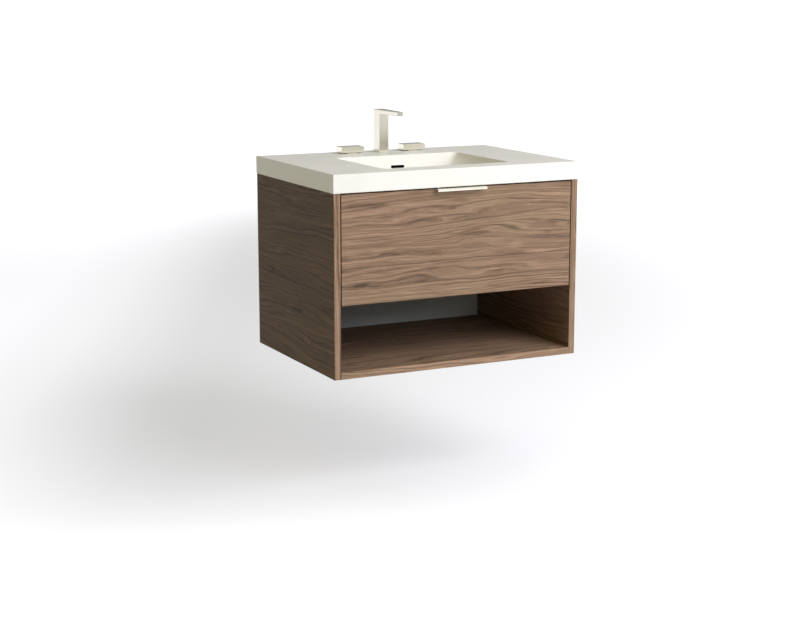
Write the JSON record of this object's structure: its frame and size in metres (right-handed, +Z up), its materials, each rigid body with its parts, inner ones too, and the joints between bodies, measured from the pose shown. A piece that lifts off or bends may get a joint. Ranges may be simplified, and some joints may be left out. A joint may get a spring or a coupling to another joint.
{
  "type": "floating vanity",
  "caption": "Wall-hung bathroom vanity with an integral basin top, one drawer with an edge pull, an open shelf below, a widespread lever faucet and a push drain.",
  "frame": {"origin": "centre of the four wall screws, on the face of the wall", "axes": "+X to the right along the wall, +Y into the wall, +Z up; the front faces -Y"},
  "size_m": [0.762, 0.56, 0.6818],
  "materials": {
    "walnut": "satin walnut veneer, figured grain",
    "bay_back": "charcoal laminate on hardboard, matt",
    "drawer_wood": "clear-lacquered birch",
    "solid_surface": "smooth satin cast solid surface, warm white",
    "brushed_nickel": "warm brushed nickel",
    "brass": "turned brass",
    "copper": "drawn copper",
    "slide_steel": "bright zinc plate",
    "chrome_tube": "polished chrome plate",
    "catch_plastic": "moulded orange plastic",
    "aerator_plastic": "moulded grey plastic",
    "black_rubber": "matt moulded rubber",
    "clear_rubber": "soft translucent rubber"
  },
  "bodies": {
    "cabinet": {"left_side_panel": "walnut", "right_side_panel": "walnut", "bottom_panel": "walnut", "divider_panel": "walnut", "bay_back_panel": "bay_back", "hanging_rail": "drawer_wood", "lower_rail": "drawer_wood", "front_stretcher": "drawer_wood", "dowels": "drawer_wood", "front_bumpers": "clear_rubber", "countertop_basin": "solid_surface", "slide_cabinet_left": "slide_steel", "slide_cabinet_right": "slide_steel", "slide_screws": "slide_steel", "spout": "brushed_nickel", "outlet_cap": "brushed_nickel", "aerator": "aerator_plastic", "spout_foot": "brushed_nickel", "spout_shank": "brass", "spout_nut": "brass", "spout_tee": "brass", "hot_valve": "brass", "cold_valve": "brass", "valve_nuts": "brass", "valve_plates": "brushed_nickel", "connector_tubes": "copper", "compression_nuts": "brass", "drain_body": "brushed_nickel", "flange_seal": "black_rubber", "drain_gasket": "black_rubber", "drain_nut": "brass", "tailpiece": "chrome_tube"},
    "left_slide_middle": {"slide_middle_left": "slide_steel"},
    "right_slide_middle": {"slide_middle_right": "slide_steel"},
    "drawer": {"slide_drawer_left": "slide_steel", "slide_drawer_right": "slide_steel", "slide_catches": "catch_plastic", "drawer_front": "walnut", "drawer_box_front": "drawer_wood", "drawer_side_left": "drawer_wood", "drawer_side_right": "drawer_wood", "drawer_back_left": "drawer_wood", "drawer_back_right": "drawer_wood", "notch_wall_left": "drawer_wood", "notch_wall_right": "drawer_wood", "notch_wall_front": "drawer_wood", "drawer_bottom": "drawer_wood", "front_screws": "slide_steel", "edge_pull": "brushed_nickel", "pull_screws": "slide_steel"},
    "hot_handle": {"hot_spindle": "brass", "hot_lever": "brushed_nickel", "hot_lever_screw": "slide_steel"},
    "cold_handle": {"cold_spindle": "brass", "cold_lever": "brushed_nickel", "cold_lever_screw": "slide_steel"},
    "drain_stopper": {"stopper": "brushed_nickel"}
  },
  "joints": [
    {"name": "drawer_slide", "type": "slide", "parent": "cabinet", "child": "drawer", "axis": [0, -1, 0], "range_m": [0, 0.45]},
    {"name": "left_slide_extension", "type": "slide", "parent": "cabinet", "child": "left_slide_middle", "axis": [0, -1, 0], "range_m": [0, 0.225]},
    {"name": "right_slide_extension", "type": "slide", "parent": "cabinet", "child": "right_slide_middle", "axis": [0, -1, 0], "range_m": [0, 0.225]},
    {"name": "hot_turn", "type": "hinge", "parent": "cabinet", "child": "hot_handle", "pos_m": [-0.1016, -0.0495, 0.2127], "axis": [0, 0, 1], "range_deg": [0, 90]},
    {"name": "cold_turn", "type": "hinge", "parent": "cabinet", "child": "cold_handle", "pos_m": [0.1016, -0.0495, 0.2127], "axis": [0, 0, 1], "range_deg": [-90, 0]},
    {"name": "stopper_lift", "type": "slide", "parent": "cabinet", "child": "drain_stopper", "axis": [0, 0, 1], "range_m": [0, 0.008]}
  ],
  "couplings": [
    {"joint": "left_slide_extension", "follows": "drawer_slide", "ratio": 0.5},
    {"joint": "right_slide_extension", "follows": "drawer_slide", "ratio": 0.5}
  ]
}
